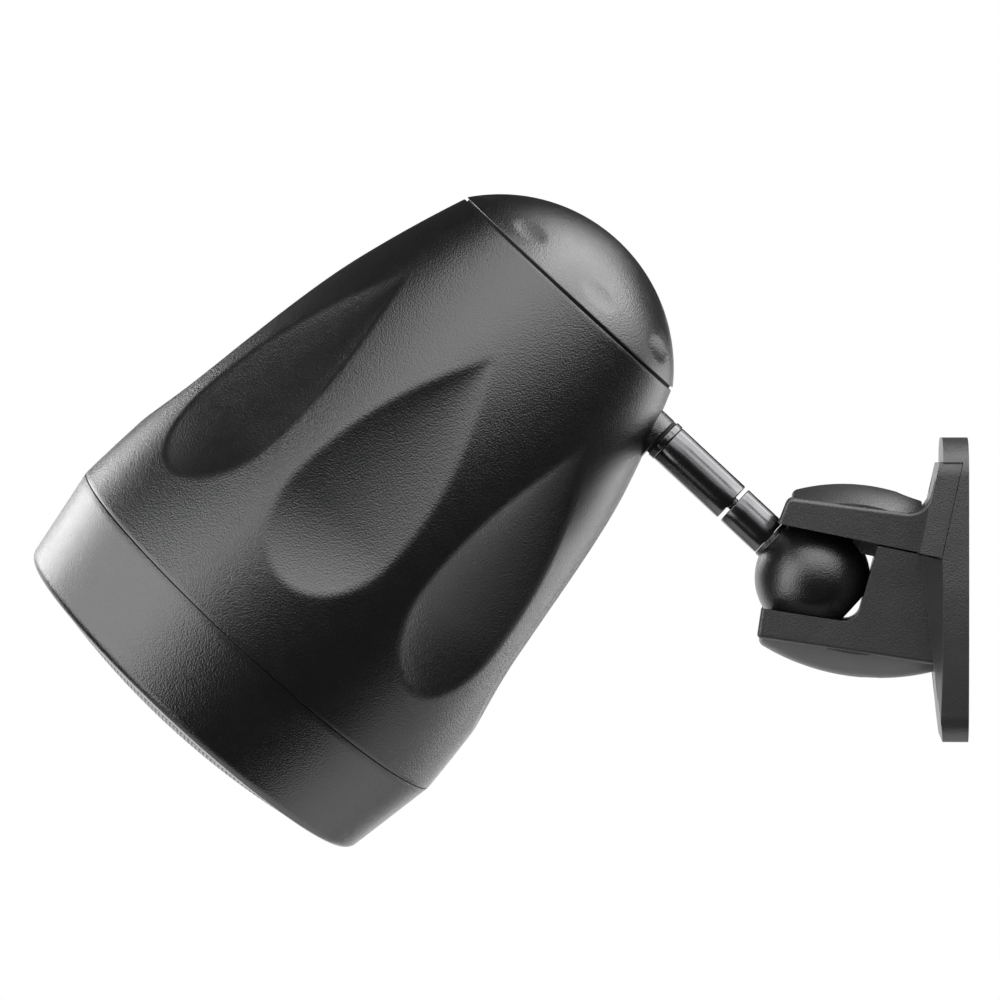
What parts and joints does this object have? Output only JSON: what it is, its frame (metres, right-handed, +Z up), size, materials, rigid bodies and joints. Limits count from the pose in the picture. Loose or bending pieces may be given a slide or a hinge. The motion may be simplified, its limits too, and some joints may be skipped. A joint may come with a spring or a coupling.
{
  "type": "outdoor patio speaker",
  "caption": "Bullet-shaped outdoor loudspeaker with scalloped housing and domed grille, on a stem and a clamped ball joint in a wall bracket.",
  "frame": {"origin": "centre of the wall plate's back face", "axes": "+X into the wall, +Z up, speaker hangs out along -X"},
  "size_m": [0.3722, 0.1864, 0.2611],
  "materials": {
    "housing": "pebble-grained moulded black",
    "bracket": "fine-grained satin black",
    "gloss_black": "gloss black",
    "grille": "satin black perforated sheet",
    "seal": "matte",
    "basket": "black",
    "cone": "matte dark grey",
    "coil": "copper wound on aluminium",
    "spider": "resin-treated cloth",
    "steel": "zinc plated",
    "magnet": "ferrite grey",
    "tweeter": "matte black",
    "tweeter_dome": "coated cloth",
    "board": "solder-masked laminate",
    "copper": "enamelled copper wire",
    "capacitor": "sleeved",
    "terminal": "moulded",
    "fastener": "zinc plated"
  },
  "bodies": {
    "bracket": {"bracket_base": "bracket", "clamp_jaw": "bracket", "clamp_screw": "fastener", "clamp_nut": "fastener"},
    "ball_stud": {"ball": "housing", "stem_stud": "gloss_black", "stem_rod": "fastener", "stem_nut": "fastener", "ball_nut": "fastener"},
    "speaker": {"main_housing": "housing", "rear_cap": "housing", "front_bezel": "housing", "stem_sleeve": "gloss_black", "lock_ring": "gloss_black", "grille": "grille", "rear_cap_gasket": "seal", "bezel_gasket": "seal", "woofer_gasket": "seal", "stem_gasket": "seal", "surround": "seal", "woofer_basket": "basket", "spider": "spider", "top_plate": "steel", "yoke": "steel", "magnet": "magnet", "tweeter_bridge": "tweeter", "tweeter_cup": "tweeter", "tweeter_dome": "tweeter_dome", "crossover_board": "board", "inductor": "copper", "capacitors": "capacitor", "terminal_block": "terminal", "woofer_screws": "fastener", "bezel_screws": "fastener", "bridge_screws": "fastener", "board_screws": "fastener", "stem_washer": "fastener"},
    "cone": {"cone": "cone", "dust_cap": "cone", "voice_coil": "coil"}
  },
  "joints": [
    {"name": "ball_tilt", "type": "hinge", "parent": "bracket", "child": "ball_stud", "pos_m": [-0.0609, 0, 0.004], "axis": [0, -1, 0], "range_deg": [0, 60]},
    {"name": "stem_spin", "type": "hinge", "parent": "ball_stud", "child": "speaker", "pos_m": [-0.0609, 0, 0.004], "axis": [-0.7325, 0, 0.6807], "range_deg": [-120, 120]},
    {"name": "cone_travel", "type": "slide", "parent": "speaker", "child": "cone", "axis": [-0.6807, 0, -0.7325], "range_m": [-0.004, 0.004], "stiffness_N_per_m": 1500, "deforming": ["surround", "spider"]}
  ]
}
